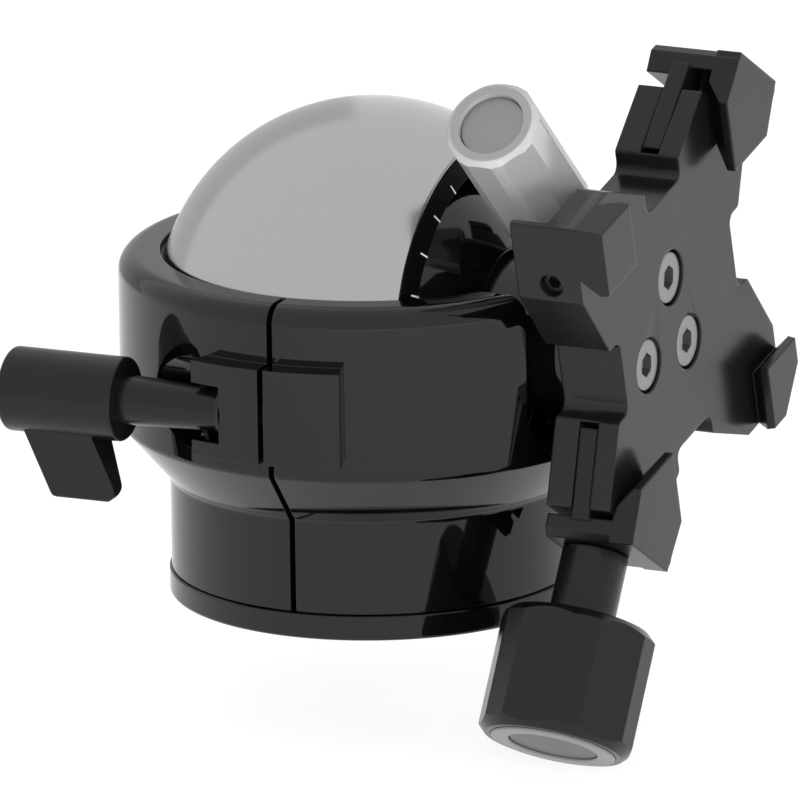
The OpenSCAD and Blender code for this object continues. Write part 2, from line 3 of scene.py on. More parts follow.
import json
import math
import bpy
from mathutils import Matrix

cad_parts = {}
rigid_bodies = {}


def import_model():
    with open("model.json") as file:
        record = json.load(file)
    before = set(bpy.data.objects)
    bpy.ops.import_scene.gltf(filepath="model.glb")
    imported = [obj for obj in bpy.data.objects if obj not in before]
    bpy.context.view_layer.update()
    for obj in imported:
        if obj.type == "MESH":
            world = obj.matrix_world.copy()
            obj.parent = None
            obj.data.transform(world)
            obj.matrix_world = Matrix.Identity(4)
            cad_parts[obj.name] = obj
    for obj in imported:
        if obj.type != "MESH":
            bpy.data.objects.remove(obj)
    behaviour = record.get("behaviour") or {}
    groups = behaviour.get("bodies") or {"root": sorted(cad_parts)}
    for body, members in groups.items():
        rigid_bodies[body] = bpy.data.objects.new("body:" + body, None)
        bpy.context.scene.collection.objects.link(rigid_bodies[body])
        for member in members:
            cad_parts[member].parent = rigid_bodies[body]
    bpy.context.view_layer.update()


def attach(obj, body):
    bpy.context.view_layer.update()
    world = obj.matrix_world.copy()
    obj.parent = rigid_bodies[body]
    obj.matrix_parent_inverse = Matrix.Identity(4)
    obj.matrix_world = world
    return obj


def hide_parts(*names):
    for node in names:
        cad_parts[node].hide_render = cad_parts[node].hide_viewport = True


bl_info = {
    "name": "Lever ball head",
    "version": (1, 0, 0),
    "blender": (4, 2, 0),
    "location": "3D Viewport > Sidebar > Ball head",
    "description": "Builds a lever ball head with its clamp, materials, lights and camera",
    "category": "Object",
}

import bmesh
import bpy
from bpy.props import FloatProperty, FloatVectorProperty, IntProperty, PointerProperty
from mathutils import Matrix, Vector

MM = 0.001
FINE = 192
SOFT_ANGLE = math.radians(32)
# Lying on its side: the local Z axis points along the part's X axis
SIDEWAYS = Matrix(((0, 0, 1, 0), (1, 0, 0, 0), (0, 1, 0, 0), (0, 0, 0, 1)))
HERE = Matrix.Identity(4)
WHITE = (1, 1, 1, 1)
# How far a cutter runs past the face that it opens, and how far two faces that would meet are
# kept apart, in millimetres
PAST = 1.0
SKIN = 0.02


# Frames: each returns the matrix of a local frame, in millimetres
def moved(x, y, z):
    return Matrix.Translation((x, y, z))


def turned(degrees, axis):
    return Matrix.Rotation(math.radians(degrees), 4, axis)


def on_stem():
    """The balls' centre, with Z along the neck."""
    return moved(0, 0, bpy.context.scene.head_sizes.centre_z) @ SIDEWAYS


def on_plate(s):
    """The clamp's middle, with Z out of its face."""
    return on_stem() @ moved(s.plate_y, s.plate_z, 0) @ turned(s.lens_angle, "Z")


def on_arm(s, upper, shift=0.0):
    """The clamp's middle, with Y along a sliding arm."""
    return on_plate(s) @ turned(-45 if upper else 135, "Z") @ moved(0, shift, 0)


def along_arm(s, upper, shift=0.0):
    """The clamp screw's axis as Z, pointing out of a sliding arm."""
    return on_arm(s, upper, shift) @ moved(0, 0, s.rod_level) @ turned(-90, "X")


def on_lever(s):
    """The lever's screw axis as Z, from the split towards the barrel."""
    across = turned(bpy.context.scene.head_sizes.split_angle, "Z")
    return across @ moved(s.lever_reach, 0, s.lever_z) @ turned(90, "X")


def on_lock(s):
    """The lock knob's axis as Z, from the neck outwards."""
    return on_stem() @ turned(s.lock_angle, "Z") @ moved(0, -s.lock_aside, s.lock_level) @ turned(90, "Y")


# Outlines
def fillet(points, radii, steps=6):
    """A closed outline with its corners rounded. radii is one number, or one for each corner."""
    n = len(points)
    if not isinstance(radii, (list, tuple)):
        radii = [radii] * n
    out = []
    for i, (p, radius) in enumerate(zip(points, radii)):
        p = Vector(p)
        a = Vector(points[i - 1]) - p
        b = Vector(points[(i + 1) % n]) - p
        if radius <= 0 or a.length < 1e-6 or b.length < 1e-6:
            out.append(p)
            continue
        angle = a.angle(b)
        if angle > math.pi - 0.02:
            out.append(p)
            continue
        reach = min(radius / math.tan(angle / 2), 0.48 * a.length, 0.48 * b.length)
        real = reach * math.tan(angle / 2)
        centre = p + (a.normalized() + b.normalized()).normalized() * (real / math.sin(angle / 2))
        start = p + a.normalized() * reach - centre
        end = p + b.normalized() * reach - centre
        sweep = start.angle_signed(end)
        for k in range(steps + 1):
            t = -sweep * k / steps
            c, s = math.cos(t), math.sin(t)
            out.append(centre + Vector((start.x * c - start.y * s, start.x * s + start.y * c)))
    return [(v.x, v.y) for v in out]


def arc(radius, start, end, steps):
    """Points on a circle about the origin, from one angle to another, in degrees."""
    out = []
    for k in range(steps + 1):
        a = math.radians(start + (end - start) * k / steps)
        out.append((radius * math.cos(a), radius * math.sin(a)))
    return out


# Meshes
def add_object(name, data, material=None):
    if material:
        data.materials.append(material)
    obj = bpy.data.objects.new(name, data)
    bpy.context.scene.collection.objects.link(obj)
    return obj


def from_bmesh(name, bm, matrix, material=None):
    bmesh.ops.transform(bm, matrix=Matrix.Scale(MM, 4) @ matrix, verts=bm.verts)
    bmesh.ops.recalc_face_normals(bm, faces=bm.faces)
    mesh = bpy.data.meshes.new(name)
    bm.to_mesh(mesh)
    bm.free()
    return add_object(name, mesh, material)


def lathe(name, profile, matrix, material=None, steps=FINE):
    """A closed profile of (r, z) points turned round the local Z axis."""
    bm = bmesh.new()
    rings = []
    for r, z in profile:
        if r < 1e-5:
            rings.append([bm.verts.new((0, 0, z))])
        else:
            rings.append([bm.verts.new((r * math.cos(2 * math.pi * k / steps),
                                        r * math.sin(2 * math.pi * k / steps), z)) for k in range(steps)])
    for a, b in zip(rings, rings[1:] + rings[:1]):
        for k in range(steps):
            j = (k + 1) % steps
            corners = [a[k % len(a)], a[j % len(a)], b[j % len(b)], b[k % len(b)]]
            unique = list(dict.fromkeys(corners))
            if len(unique) > 2:
                bm.faces.new(unique)
    return from_bmesh(name, bm, matrix, material)


def prism(name, outline, low, high, matrix, material=None):
    """A closed outline of (x, y) points raised from low to high along the local Z axis."""
    bm = bmesh.new()
    bottom = [bm.verts.new((x, y, low)) for x, y in outline]
    top = [bm.verts.new((x, y, high)) for x, y in outline]
    bm.faces.new(bottom)
    bm.faces.new(top)
    for k in range(len(outline)):
        j = (k + 1) % len(outline)
        bm.faces.new((bottom[k], bottom[j], top[j], top[k]))
    return from_bmesh(name, bm, matrix, material)


def block(name, low, high, matrix):
    outline = [(low[0], low[1]), (high[0], low[1]), (high[0], high[1]), (low[0], high[1])]
    return prism(name, outline, low[2], high[2], matrix)


def rod(name, radius, low, high, matrix, material=None, edge=0.0, steps=96):
    profile = fillet([(0, low), (radius, low), (radius, high), (0, high)], [0, edge, edge, 0], 3)
    return lathe(name, profile, matrix, material, steps)


def tube(name, outer, inner, low, high, matrix, material=None, edge=0.0, steps=128):
    profile = fillet([(inner, low), (outer, low), (outer, high), (inner, high)], edge, 3)
    return lathe(name, profile, matrix, material, steps)


def settle(obj):
    """Turns the object with its modifiers into a plain mesh."""
    depsgraph = bpy.context.evaluated_depsgraph_get()
    mesh = bpy.data.meshes.new_from_object(obj.evaluated_get(depsgraph))
    obj.modifiers.clear()
    old = obj.data
    obj.data = mesh
    mesh.name = obj.name
    bpy.data.meshes.remove(old)
    return obj


def combine(obj, tools, operation):
    """Joins, cuts or crosses obj with each tool in turn, and removes the tools."""
    for tool in tools:
        modifier = obj.modifiers.new("shape", "BOOLEAN")
        modifier.operation = operation
        modifier.solver = "MANIFOLD"
        modifier.object = tool
        settle(obj)
        bpy.data.objects.remove(tool)
    while len(obj.data.materials) > 1:
        obj.data.materials.pop()
    for face in obj.data.polygons:
        face.material_index = 0
    return obj


def join(obj, *tools):
    return combine(obj, tools, "UNION")


def cut(obj, *tools):
    return combine(obj, tools, "DIFFERENCE")


def cross(obj, *tools):
    return combine(obj, tools, "INTERSECT")


def soften(obj, width, segments=2):
    """Rounds the sharp edges, and shades the rest smooth."""
    bm = bmesh.new()
    bm.from_mesh(obj.data)
    bmesh.ops.remove_doubles(bm, verts=bm.verts, dist=0.008 * MM)
    bm.to_mesh(obj.data)
    bm.free()
    bevel = obj.modifiers.new("edge", "BEVEL")
    bevel.width = width * MM
    bevel.segments = segments
    bevel.limit_method = "ANGLE"
    bevel.angle_limit = SOFT_ANGLE
    return smooth(settle(obj))


def smooth(obj):
    """Shades smooth up to the angle, with flat faces kept flat beside round edges."""
    obj.data.shade_smooth()
    obj.data.set_sharp_from_angle(angle=SOFT_ANGLE)
    even = obj.modifiers.new("even", "WEIGHTED_NORMAL")
    even.keep_sharp = True
    even.weight = 90
    return settle(obj)


def stretch_uv(obj):
    """Simple box coordinates, in metres, so that every piece has a UV map."""
    mesh = obj.data
    layer = mesh.uv_layers.new(name="UVMap") if not mesh.uv_layers else mesh.uv_layers[0]
    for face in mesh.polygons:
        n = face.normal
        drop = max(range(3), key=lambda i: abs(n[i]))
        keep = [i for i in range(3) if i != drop]
        for loop in face.loop_indices:
            co = mesh.vertices[mesh.loops[loop].vertex_index].co
            layer.data[loop].uv = (co[keep[0]] * 10, co[keep[1]] * 10)


def place(obj, body, slot, *nodes):
    """Hands a finished piece to the frame."""
    stretch_uv(obj)
    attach(obj, body)
    for node in nodes:
        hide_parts(node)
    return obj


# Materials
def linear(code):
    """A linear colour from an sRGB hex code."""
    parts = [int(code[i:i + 2], 16) / 255 for i in (1, 3, 5)]
    return tuple(c / 12.92 if c <= 0.04045 else ((c + 0.055) / 1.055) ** 2.4 for c in parts) + (1.0,)


def node_of(tree, kind, place, **values):
    node = tree.nodes.new(kind)
    node.location = place
    for key, value in values.items():
        if key.startswith("in_"):
            node.inputs[key[3:].replace("_", " ")].default_value = value
        else:
            setattr(node, key, value)
    return node


def wire(tree, *links):
    """Links an output of one node to an input of another, each by its name or number."""
    for start, output, end, entry in links:
        tree.links.new(start.outputs[output], end.inputs[entry])


def metal(mat, code, rough, metallic, grain_mm=0.25, bump=0.02, spread=0.06, shine=0.5, edge_mm=0.2):
    """A machined or anodised metal: fine grain on Object coordinates moves its roughness and surface."""
    wide_mm = 14
    tree = mat.node_tree
    shader = tree.nodes["Principled BSDF"]
    shader.inputs["Base Color"].default_value = linear(code)
    shader.inputs["Metallic"].default_value = metallic
    shader.inputs["Specular IOR Level"].default_value = shine
    coords = node_of(tree, "ShaderNodeTexCoord", (-900, 0))
    noise = node_of(tree, "ShaderNodeTexNoise", (-700, 0), in_Scale=1 / (grain_mm * MM), in_Detail=3.0)
    wide = node_of(tree, "ShaderNodeTexNoise", (-700, -300), in_Scale=1 / (wide_mm * MM), in_Detail=2.0)
    blend = node_of(tree, "ShaderNodeMath", (-500, -150), operation="MULTIPLY_ADD")
    blend.inputs[1].default_value = 0.5
    span = node_of(tree, "ShaderNodeMapRange", (-320, -150), in_From_Min=0.35, in_From_Max=1.1,
                   in_To_Min=max(rough - spread, 0.02), in_To_Max=rough + spread)
    bumps = node_of(tree, "ShaderNodeBump", (-320, -420), in_Strength=0.5, in_Distance=bump * MM)
    round_off = node_of(tree, "ShaderNodeBevel", (-520, -560), samples=6, in_Radius=edge_mm * MM)
    wire(tree,
         (round_off, "Normal", bumps, "Normal"),
         (coords, "Object", noise, "Vector"),
         (coords, "Object", wide, "Vector"),
         (noise, "Fac", blend, 0),
         (wide, "Fac", blend, 2),
         (blend, 0, span, "Value"),
         (span, "Result", shader, "Roughness"),
         (noise, "Fac", bumps, "Height"),
         (bumps, "Normal", shader, "Normal"))


def plain(mat, code, rough):
    """One colour and one roughness."""
    shader = mat.node_tree.nodes["Principled BSDF"]
    shader.inputs["Base Color"].default_value = linear(code)
    shader.inputs["Roughness"].default_value = rough
    return shader


def new_material(name):
    mat = bpy.data.materials.new("look_" + name)
    mat.use_nodes = True
    return mat


def glowing(name, code, rough, strength):
    """A plain material that also shines white, for the stage."""
    mat = new_material(name)
    shader = plain(mat, code, rough)
    shader.inputs["Emission Color"].default_value = WHITE
    shader.inputs["Emission Strength"].default_value = strength
    return mat


# The looks: a metal has a metallic value, a plain one only its colour and roughness
LOOKS = {
    "body_black": dict(code="#050506", rough=0.04, metallic=0.0, bump=0.0004, spread=0.015, shine=0.4),
    "plate_black": dict(code="#131314", rough=0.22, metallic=0.0, grain_mm=0.18, bump=0.006,
                        shine=0.32, edge_mm=0.5),
    "jaw_black": dict(code="#0c0c0d", rough=0.26, metallic=0.0, grain_mm=0.18, bump=0.01,
                      shine=0.32, edge_mm=0.6),
    "knob_black": dict(code="#0c0c0d", rough=0.26, metallic=0.0, bump=0.01, shine=0.32),
    "ball_grey": dict(code="#aeaeaf", rough=0.2, metallic=1.0, grain_mm=0.2, bump=0.0015, spread=0.03),
    "ball_black": dict(code="#0a0a0b", rough=0.06, metallic=0.0, bump=0.0006, spread=0.02, shine=0.45),
    "ring_black": dict(code="#070708", rough=0.45, metallic=0.0, shine=0.08),
    "silver": dict(code="#b6b6b8", rough=0.14, metallic=0.35, grain_mm=0.5, bump=0.002, spread=0.03),
    # A darker copy of the silver for the lock knob's end face: painted shade, the end lit less than the sides
    "silver_end": dict(code="#8e8e90", rough=0.35, metallic=0.0, grain_mm=0.5, bump=0.002, spread=0.03),
    "cap_grey": dict(code="#949496", rough=0.45, metallic=1.0, bump=0.004),
    "knob_grey": dict(code="#6a6a6b", rough=0.45, metallic=1.0, bump=0.004),
    "knob_rim": dict(code="#868687", rough=0.35, metallic=1.0, bump=0.002),
    "steel": dict(code="#939395", rough=0.4, metallic=1.0, bump=0.006),
    "steel_black": dict(code="#101011", rough=0.4, metallic=0.0, shine=0.4),
    "liner_white": dict(code="#d8d5cb", rough=0.5),
    "liner_dark": dict(code="#19191b", rough=0.5),
    "brass": dict(code="#b59a58", rough=0.35, metallic=0.9),
    "print_white": dict(code="#e6e6e6", rough=0.6),
}


def look(name):
    """The material with that name in LOOKS, made at its first use."""
    found = bpy.data.materials.get("look_" + name)
    if found:
        return found
    mat = new_material(name)
    make = metal if "metallic" in LOOKS[name] else plain
    make(mat, **LOOKS[name])
    return mat


# Repeated pieces
def repeat_tree(name, proto, material):
    """A node tree that puts a copy of proto on every point of the mesh it is given, turned by its "turn"."""
    tree = bpy.data.node_groups.new(name, "GeometryNodeTree")
    tree.interface.new_socket("Geometry", in_out="INPUT", socket_type="NodeSocketGeometry")
    tree.interface.new_socket("Geometry", in_out="OUTPUT", socket_type="NodeSocketGeometry")
    start = node_of(tree, "NodeGroupInput", (-700, 0))
    info = node_of(tree, "GeometryNodeObjectInfo", (-700, -200), in_Object=proto)
    angle = node_of(tree, "GeometryNodeInputNamedAttribute", (-700, -400), data_type="FLOAT_VECTOR",
                    in_Name="turn")
    spread = node_of(tree, "GeometryNodeInstanceOnPoints", (-400, 0))
    real = node_of(tree, "GeometryNodeRealizeInstances", (-200, 0))
    paint = node_of(tree, "GeometryNodeSetMaterial", (0, 0), in_Material=material)
    end = node_of(tree, "NodeGroupOutput", (200, 0))
    wire(tree,
         (start, 0, spread, "Points"),
         (info, "Geometry", spread, "Instance"),
         (angle, 0, spread, "Rotation"),
         (spread, 0, real, 0),
         (real, 0, paint, "Geometry"),
         (paint, 0, end, 0))
    return tree


def repeated(name, proto, matrices, material):
    """One plain mesh with a copy of proto, which is built at the origin, under each matrix."""
    mesh = bpy.data.meshes.new(name)
    mesh.from_pydata([m.translation * MM for m in matrices], [], [])
    turn = mesh.attributes.new("turn", "FLOAT_VECTOR", "POINT")
    for k, m in enumerate(matrices):
        turn.data[k].vector = m.to_euler()
    obj = add_object(name, mesh)
    modifier = obj.modifiers.new("repeat", "NODES")
    modifier.node_group = repeat_tree(name + "_tree", proto, material)
    settle(obj)
    bpy.data.objects.remove(proto)
    return obj


# Sizes: the text of each is its label and its description
def length(value, text):
    return FloatProperty(name=text, default=value, description=text + ", in millimetres", unit="NONE")


def degrees(value, text):
    return FloatProperty(name=text, default=value, description=text + ", in degrees", unit="NONE")


def metres(value, text):
    return FloatProperty(name=text, default=value, description=text, min=0, subtype="DISTANCE", unit="LENGTH")


def offset(value, text):
    return FloatVectorProperty(name=text, default=value, description=text, subtype="TRANSLATION")


def watts(value, text):
    return FloatProperty(name=text, default=value, description=text + ", in watts", min=0, subtype="POWER")


def factor(value, text):
    return FloatProperty(name=text, default=value, description=text, min=0, subtype="FACTOR")


def count(value, text):
    return IntProperty(name=text, default=value, description=text, min=1)


class HeadSizes(bpy.types.PropertyGroup):
    centre_z: length(42.6, "Height of the balls' centre")
    split_angle: degrees(-87.75, "Direction of the housing's split")
    split_gap: length(0.9, "Width of the split")
    base_r: length(31.15, "Radius of the base plate")
    base_h: length(3.9, "Thickness of the base plate")
    base_bore: length(7.6, "Radius of the hole for the tripod thread")
    foot_r: length(30.8, "Radius of the housing's foot")
    cone_low: length(18.2, "Height where the cone starts")
    cone_high: length(26.7, "Height where the collar starts")
    collar_r: length(38.1, "Outer radius of the collar")
    collar_top: length(52.8, "Height of the collar's top")
    collar_round: length(3.0, "Radius of the collar's top edge")
    socket_r: length(33.4, "Radius of the ball's socket")
    well_r: length(25.5, "Radius of the well below the socket")
    notch_half: length(17.4, "Half the width of the portrait notch")
    notch_floor: length(29.0, "Height of the notch's floor")
    notch_round: length(5.0, "Radius of the notch's lower corners")
    boss_r: length(41.8, "Radius of the lever boss")
    boss_root: length(34.5, "Radius inside the wall where the boss starts")
    boss_half: degrees(16.7, "Half the angle the boss spans")
    boss_low: length(29.5, "Height of the boss's lower face")
    boss_high: length(44.1, "Height of the boss's upper face")
    boss_end: length(12.2, "Distance from the split to the boss's lever side")
    ball_r: length(32.5, "Radius of the large ball")
    ball_face: length(17.0, "Distance from the centre to the large ball's open face")
    ball_wall: length(27.2, "Radius of the large ball's cavity")
    inner_r: length(26.0, "Radius of the inner ball")
    ring_rise: length(1.41, "Height of the scale ring above the ball's face")
    ring_inner: length(23.85, "Inner radius of the scale ring")
    tick_step: degrees(15.0, "Angle between two ticks of the scale")
    tick_start: degrees(126.5, "Direction of the first tick")
    ticks: count(24, "Number of ticks on the scale ring")


class LeverSizes(bpy.types.PropertyGroup):
    lever_reach: length(37.6, "Distance of the lever's screw from the vertical axis")
    lever_z: length(36.3, "Height of the lever's screw")
    barrel_r: length(6.35, "Radius of the barrel")
    barrel_len: length(18.6, "Length of the barrel")
    barrel_start: length(23.7, "Distance from the split to the barrel")
    shaft_start: length(7.75, "Distance from the split to the thick shaft")
    shaft_low: length(3.35, "Radius of the shaft at the boss")
    shaft_high: length(3.75, "Radius of the shaft at the barrel")
    paddle_len: length(15.8, "Reach of the paddle below the screw's axis")
    paddle_width: length(11.0, "Width of the paddle along the screw")
    paddle_lean: length(4.2, "How far the paddle's tip leans towards the split")
    paddle_end: length(2.8, "Distance from the barrel's end to the paddle")
    paddle_root: length(4.0, "Depth below the screw's axis where the paddle starts")


class NeckSizes(bpy.types.PropertyGroup):
    neck_r: length(12.3, "Radius of the neck")
    neck_start: length(22.9, "Distance from the centre to the neck's foot")
    head_r: length(13.4, "Radius of the neck's head")
    head_h: length(2.3, "Height of the neck's head")
    lock_angle: degrees(136.7, "Direction of the lock knob about the neck")
    lock_aside: length(11.9, "Distance of the lock knob's axis beside the neck's axis")
    lock_level: length(31.0, "Distance of the lock knob's axis along the neck")
    lock_start: length(17.8, "Distance from the neck to the lock knob")
    lock_len: length(24.5, "Length of the lock knob")
    lock_r: length(7.35, "Radius of the lock knob")
    lug_r: length(4.4, "Radius of the lug that holds the lock screw")
    lug_start: length(2.4, "Distance from the neck's axis to the lug's foot")
    lock_flats: count(8, "Number of flats on the lock knob")
    gap: length(0.05, "Gap between two pieces that fit together")


class ClampSizes(bpy.types.PropertyGroup):
    plate_y: length(3.7, "Sideways shift of the clamp's middle")
    plate_z: length(3.7, "Upward shift of the clamp's middle")
    lens_angle: degrees(13.8, "How far the clamp is turned about the neck")
    plate_face: length(49.0, "Distance from the centre to the clamp's face")
    plate_back: length(38.6, "Distance from the centre to the clamp's back")
    rod_level: length(44.15, "Distance from the centre to the clamp screw's axis")
    arm_root: length(14.1, "Half the width of an arm at its root")
    arm_taper: degrees(15.5, "Slope of an arm's sides")
    slide_len: length(33.5, "Reach of the two sliding arms")
    upper_len: length(32.3, "Visible reach of the upper sliding arm")
    right_len: length(36.6, "Reach of the right fixed arm")
    square: length(29.9, "Half the width of the square that ends the left arm")
    pocket: length(19.99, "Distance from the middle to a pocket's floor")
    pocket_half: length(6.1, "Half the width of a pocket")
    pocket_round: length(1.9, "Radius of a pocket's corners")
    slot_start: length(21.0, "Distance from the middle to a sliding arm's slot")
    slot_half: length(1.55, "Half the height of the slot")
    post_lip: length(18.75, "Distance from the middle to a post's lip")
    post_h: length(4.0, "Height of the posts and jaws above the face")
    post_sunk: length(0.6, "Depth of the posts' roots below the face")
    post_slope: length(1.0, "How much a post's outer side leans in")
    lip_land: length(1.3, "Height of a lip's straight part")
    jaw_lip: length(15.6, "Distance from the middle to a jaw's lip at the mean reach")
    upper_gap: length(2.6, "Gap between the upper jaw's block and its arm")
    lower_gap: length(0.9, "Gap between the lower jaw's block and its arm")
    jaw_wall: length(3.3, "Thickness of a jaw's block")
    tongue_start: length(21.9, "Distance from the middle to a tongue's foot")
    knob_r: length(12.0, "Radius of the clamp knob")
    knob_len: length(19.2, "Length of the clamp knob")
    shoulder_len: length(10.9, "Distance from the lower jaw to the clamp knob")
    shoulder_r: length(5.0, "Radius of the clamp screw's shoulder")
    knob_flats: count(6, "Number of wide flats on the clamp knob")
    cap_r: length(9.5, "Radius of the clamp knob's cap ring")
    gap: length(0.05, "Gap between two pieces that fit together")


class StageSettings(bpy.types.PropertyGroup):
    azimuth: degrees(26.05, "Direction the object is seen from")
    elevation: degrees(15.4, "How steeply the camera looks down")
    roll: degrees(0.848, "How far the camera is rolled to the right")
    aim_right: length(3.8985, "How far right of the balls' centre the camera aims")
    aim_down: length(13.374, "How far below the balls' centre the camera aims")
    floor_z: length(-19.0, "Height of the floor")
    frame_mm: length(120.0, "Width of the picture at the object")
    distance: metres(3.0, "Distance of the camera from the object")
    sight: metres(20.0, "How far the camera sees")
    floor_half: metres(4.0, "Half the width of the floor")
    lamp_aim: metres(0.035, "Height that the lamps point at")
    key_power: watts(6.0, "Power of the lamp on the right")
    key_size: metres(0.5, "Width of the lamp on the right")
    key_place: offset((0.85, -0.35, 0.03), "Place of the key light from the lamp aim")
    fill_power: watts(3.4, "Power of the lamp beside the camera")
    fill_size: metres(0.3, "Width of the lamp beside the camera")
    fill_reach: metres(0.8, "Distance of the lamp beside the camera")
    top_power: watts(0.6, "Power of the wide lamp above the object")
    top_size: metres(1.2, "Width of the lamp above the object")
    top_reach: metres(0.9, "Distance of the lamp above the object")
    floor_glow: factor(0.8, "Light that the floor gives off by itself")
    surround: factor(0.5, "Light of the white surround on plain surfaces")
    panel_behind: metres(0.4, "Distance of the grey panel behind the object")
    panel_inner: metres(0.12, "Inner radius of the curved grey panel")
    panel_outer: metres(0.62, "Outer radius of the curved grey panel")
    panel_start: degrees(95.0, "Where the panel starts, counted from the right")
    panel_end: degrees(210.0, "Where the panel ends, counted from the right")
    panel_glow: factor(0.68, "Light that the panel gives off")


def grip(name, radius, long, edge, flats, flat_angle, matrix, material):
    """A knob with flats along it, soft edges between them and bevelled ends."""
    step = 360 / flats
    outline = []
    for k in range(flats):
        for side in (-1, 1):
            a = math.radians(step * k + side * flat_angle / 2)
            outline.append((radius * math.cos(a), radius * math.sin(a)))
    obj = prism(name, fillet(outline, 0.7, 4), 0, long, matrix, material)
    side = [(0, 0), (radius - edge, 0), (radius, edge), (radius, long - edge), (radius - edge, long),
            (0, long)]
    profile = fillet(side, [0, 0.4, 0.4, 0.4, 0.4, 0], 3)
    return cross(obj, lathe("bound", profile, matrix))


def hex_cutter(flats, low, high, matrix):
    r = flats / math.sqrt(3)
    outline = [(r * math.cos(math.radians(60 * k)), r * math.sin(math.radians(60 * k))) for k in range(6)]
    return prism("hex", outline, low, high, matrix)


class HEAD_OT_housing(bpy.types.Operator):
    """Builds the base plate and the split housing"""
    bl_idname = "head.housing"
    bl_label = "Housing"

    def execute(self, context):
        s = context.scene.head_sizes
        v = context.scene.lever_sizes
        section = [(s.base_bore, 0), (s.base_r, 0), (s.base_r, s.base_h), (s.base_bore, s.base_h)]
        profile = fillet(section, [0.2, 0.6, 0.3, 0.2], 4)
        base = smooth(lathe("base_plate_shell", profile, HERE, look("body_black")))
        place(base, "stand", "body_black", "base_plate")

        section = [(0, s.base_h), (s.foot_r, s.base_h), (s.foot_r, s.cone_low), (s.collar_r, s.cone_high),
                   (s.collar_r, s.collar_top), (0, s.collar_top)]
        profile = fillet(section, [0, 0.3, 1.2, 1.6, s.collar_round, 0], 10)
        body = lathe("housing_shell", profile, HERE, look("body_black"), 256)
        first, last = s.split_angle - s.boss_half, s.split_angle + s.boss_half
        outline = arc(s.boss_r, first, last, 24) + arc(s.boss_root, last, first, 24)
        join(body, prism("boss", outline, s.boss_low, s.boss_high, HERE))
        above = s.collar_top + PAST
        outside = s.boss_r + PAST
        ball = lathe("ball", arc(s.socket_r, -90, 90, 96), moved(0, 0, s.centre_z), steps=256)
        well = rod("well", s.well_r, s.base_h - PAST, s.centre_z, HERE, steps=256)
        side = [(-s.notch_half, above), (-s.notch_half, s.notch_floor), (s.notch_half, s.notch_floor),
                (s.notch_half, above)]
        outline = fillet(side, [0, s.notch_round, s.notch_round, 0], 8)
        notch = prism("notch", outline, s.notch_half, outside, SIDEWAYS)
        split = block("split", (0, -s.split_gap / 2, s.base_h - PAST), (outside, s.split_gap / 2, above),
                      turned(s.split_angle, "Z"))
        lever = on_lever(v)
        scoop_r, scoop_aside, scoop_len = 8.6, 2.5, 12.0
        scoop = rod("scoop", scoop_r, s.boss_end, s.boss_end + scoop_len,
                    lever @ moved(scoop_aside, 0, 0), edge=1.5)
        mouth_half, mouth_depth, mouth_out = 4.4, 5.1, 14.0
        mouth = block("mouth", (-mouth_half, -mouth_half, s.boss_end - mouth_depth),
                      (mouth_out, mouth_half, s.boss_end + PAST), lever)
        bore_r, bore_len, nut_r, nut_len = 2.6, 8.4, 3.1, 8.5
        bore = rod("bore", bore_r, -bore_len, s.boss_end, lever)
        nut = rod("nut", nut_r, -nut_len, 0, lever)
        cut(body, ball, well, notch, split, scoop, mouth, bore, nut)
        soften(body, 0.28, 3)
        place(body, "stand", "body_black", "housing")
        return {"FINISHED"}


class HEAD_OT_balls(bpy.types.Operator):
    """Builds the large ball, its scale ring and the inner ball"""
    bl_idname = "head.balls"
    bl_label = "Balls"

    def execute(self, context):
        s = context.scene.head_sizes
        stem = on_stem()
        face_angle = math.degrees(math.asin(s.ball_face / s.ball_r))
        rim = arc(s.ball_r, -90, face_angle, 110)
        cavity = arc(s.ball_wall, 0, -90, 40)
        profile = fillet(rim + [(s.ball_wall, s.ball_face)] + cavity,
                         [0] * (len(rim) - 1) + [0.25, 0.1] + [0] * len(cavity), 4)
        ball = smooth(lathe("large_ball_shell", profile, stem, look("ball_grey"), 320))
        place(ball, "large_ball", "ball_grey", "outer_ball")

        ring_depth, ring_ledge, ring_gap = 3.4, 0.8, 0.1
        top = s.ball_face + s.ring_rise
        low = s.ball_face - ring_depth
        seat = s.inner_r + ring_gap
        ledge = low + ring_ledge
        start = math.degrees(math.asin(ledge / seat))
        end = math.degrees(math.asin(low / seat))
        profile = [(s.ball_wall - 0.05, low), (s.ball_wall - 0.05, s.ball_face), (s.ring_inner, top),
                   (s.ring_inner, ledge)]
        profile = fillet(profile + arc(seat, start, end, 4), [0.1, 0.15, 0.2, 0.3] + [0] * 5, 3)
        ring = smooth(lathe("scale_ring_shell", profile, stem, look("ring_black"), 256))
        place(ring, "large_ball", "ring_black", "scale_ring")

        lean = math.degrees(math.atan2(s.ring_rise, s.ball_wall - s.ring_inner))
        tick_r, tick_len, tick_width = 24.6, 1.5, 0.26
        half = Vector((tick_len, tick_width)) / 2
        tick = block("tick", (-half.x, -half.y, -0.04), (half.x, half.y, 0.03), HERE)
        level = top - (tick_r - s.ring_inner) * math.tan(math.radians(lean))
        spot = moved(tick_r, 0, level) @ turned(lean, "Y")
        places = [stem @ turned(s.tick_start + s.tick_step * k, "Z") @ spot for k in range(s.ticks)]
        ticks = repeated("scale_ticks", tick, places, look("print_white"))
        place(ticks, "large_ball", "ring_black")

        neck_r = context.scene.neck_sizes.neck_r
        foot = math.sqrt(s.inner_r ** 2 - neck_r ** 2)
        top_angle = math.degrees(math.atan2(foot, neck_r))
        profile = fillet(arc(s.inner_r, -90, top_angle, 110) + [(0, foot)], [0] * 110 + [0.2, 0], 3)
        inner = smooth(lathe("inner_ball_shell", profile, stem, look("ball_black"), 320))
        place(inner, "head", "body_black", "inner_ball")
        return {"FINISHED"}


